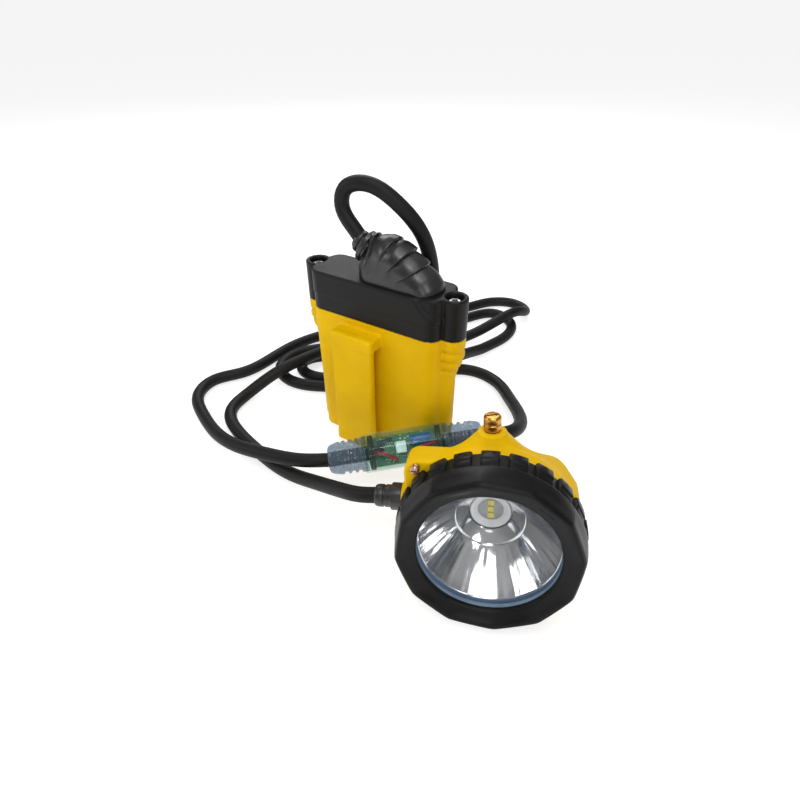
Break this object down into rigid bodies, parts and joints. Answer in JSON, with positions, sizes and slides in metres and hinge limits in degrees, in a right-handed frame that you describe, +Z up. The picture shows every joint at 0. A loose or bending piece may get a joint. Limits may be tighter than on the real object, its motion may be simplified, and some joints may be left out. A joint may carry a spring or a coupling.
{
  "type": "miner's cap lamp",
  "caption": "Corded miner's cap lamp: yellow battery pack with belt loop and black lid, rubber lead with clear in-line circuit module, and round head piece with grip bezel.",
  "frame": {"origin": "centre of the battery case's flat base, where it stands", "axes": "+X along the battery's long side, -Y towards the belt loop's face, +Z up from the base to the lid"},
  "size_m": [0.3158, 0.349, 0.1751],
  "materials": {
    "yellow_shell": "satin moulded plastic",
    "black_shell": "satin moulded plastic",
    "black_rubber": "soft sheen rubber",
    "cable_rubber": "matte rubber sheath",
    "brass": "turned brass",
    "steel": "brushed",
    "chrome_reflector": "mirror",
    "lens_clear": "clear polycarbonate",
    "seal_grey": "blue grey seal",
    "clear_plastic": "clear moulded plastic",
    "circuit_green": "solder mask",
    "chip_black": "moulded chip",
    "wire_red": "wire insulation",
    "blue_part": "shrink film",
    "white_plastic": "moulded plastic",
    "silver_part": "cast aluminium",
    "led_phosphor": "yellow phosphor",
    "board_grey": "grey board",
    "cell_wrap": "shrink wrap",
    "copper": "coppery plated",
    "pad_grey": "foam"
  },
  "bodies": {
    "root": {"battery_case": "yellow_shell", "battery_lid": "black_shell", "lid_gasket": "black_rubber", "lid_screws": "steel", "screw_inserts": "brass", "battery_cells": "cell_wrap", "cell_tray_lower": "white_plastic", "cell_tray_upper": "white_plastic", "cell_strips": "steel", "base_pad": "pad_grey", "protection_board": "circuit_green", "board_parts": "chip_black", "battery_leads": "wire_red", "lid_gland": "brass", "lid_gland_nut": "brass", "cable_boot": "black_rubber", "head_housing": "yellow_shell", "reflector": "chrome_reflector", "led_seat": "white_plastic", "led_board": "board_grey", "led_dies": "led_phosphor", "heat_sink": "silver_part", "driver_board": "circuit_green", "driver_parts": "chip_black", "post_seal": "black_rubber", "post_contact": "brass", "lock_screw": "copper", "switch_seal": "black_rubber", "switch_body": "black_shell", "head_gland": "black_shell", "head_gland_nut": "black_shell", "head_leads": "wire_red", "helmet_hook": "steel", "hook_screws": "steel", "cord_battery": "cable_rubber", "cord_head": "cable_rubber", "module_sleeve": "clear_plastic", "module_boots": "clear_plastic", "module_cable_ends": "cable_rubber", "module_grommets": "chip_black", "module_board": "circuit_green", "module_capacitor": "blue_part", "module_relay": "silver_part", "module_chips": "chip_black", "module_leads": "wire_red"},
    "lens_pack": {"lens": "lens_clear", "lens_seal": "seal_grey"},
    "bezel": {"bezel_ring": "black_shell"},
    "post": {"charging_post": "brass", "post_retainer": "steel"},
    "knob": {"switch_knob": "black_shell"}
  },
  "joints": [
    {"name": "bezel_advance", "type": "slide", "parent": "root", "child": "lens_pack", "axis": [0.37, -0.9158, 0.1564], "range_m": [0, 0.0061]},
    {"name": "bezel_turn", "type": "hinge", "parent": "lens_pack", "child": "bezel", "pos_m": [0.11976, -0.08971, 0.04692], "axis": [0.37, -0.9158, 0.1564], "range_deg": [0, 720]},
    {"name": "charging_post_turn", "type": "hinge", "parent": "root", "child": "post", "pos_m": [0.10318, -0.06031, 0.09205], "axis": [-0.1392, 0.1118, 0.9839], "range_deg": [0, 180]},
    {"name": "switch_turn", "type": "hinge", "parent": "root", "child": "knob", "pos_m": [0.11381, -0.06638, 0.00582], "axis": [0.1392, -0.1118, -0.9839], "range_deg": [-90, 90]}
  ],
  "couplings": [
    {"joint": "bezel_advance", "follows": "bezel_turn", "m_per_rad": 0.00047746}
  ]
}
